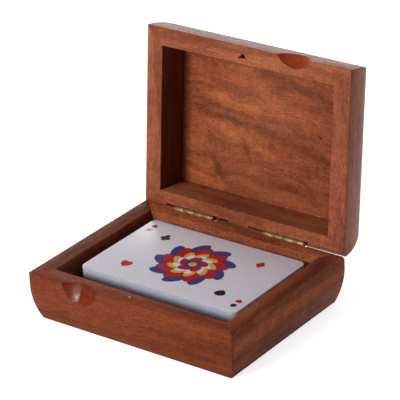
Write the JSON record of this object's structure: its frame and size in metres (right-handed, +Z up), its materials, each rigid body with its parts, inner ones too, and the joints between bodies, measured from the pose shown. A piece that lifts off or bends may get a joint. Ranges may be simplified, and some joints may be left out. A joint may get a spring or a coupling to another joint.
{
  "type": "hinged playing card box",
  "caption": "Small hinged wooden box with pillow sides and finger scoops, its lid open on a stop, holding a pack of playing cards.",
  "frame": {"origin": "centre of the base's underside", "axes": "+X to the right along the long front, +Y to the hinged back, +Z up out of the tray"},
  "size_m": [0.116, 0.1205, 0.1149],
  "materials": {
    "case_wood": "satin",
    "panel_wood": "satin",
    "hinge_brass": "satin",
    "pin_brass": "satin",
    "card_faces": "satin",
    "card_edges": "satin"
  },
  "bodies": {
    "base": {"base_front_wall": "case_wood", "base_back_wall": "case_wood", "base_left_wall": "case_wood", "base_right_wall": "case_wood", "base_bottom_board": "case_wood", "left_hinge_base_leaf": "hinge_brass", "left_hinge_pin": "pin_brass", "right_hinge_base_leaf": "hinge_brass", "right_hinge_pin": "pin_brass", "catch_pin": "pin_brass"},
    "lid": {"lid_front_wall": "case_wood", "lid_back_wall": "case_wood", "lid_left_wall": "case_wood", "lid_right_wall": "case_wood", "lid_top_panel": "panel_wood", "left_hinge_lid_leaf": "hinge_brass", "right_hinge_lid_leaf": "hinge_brass"},
    "cards": {"card_stack": "card_edges", "top_card": "card_faces"}
  },
  "joints": [
    {"name": "lid_hinge", "type": "hinge", "parent": "base", "child": "lid", "pos_m": [0, 0.0444, 0.02505], "axis": [1, 0, 0], "range_deg": [0, 96]},
    {"name": "cards_lift", "type": "slide", "parent": "base", "child": "cards", "axis": [0, 0, 1], "range_m": [0, 0.06]}
  ]
}
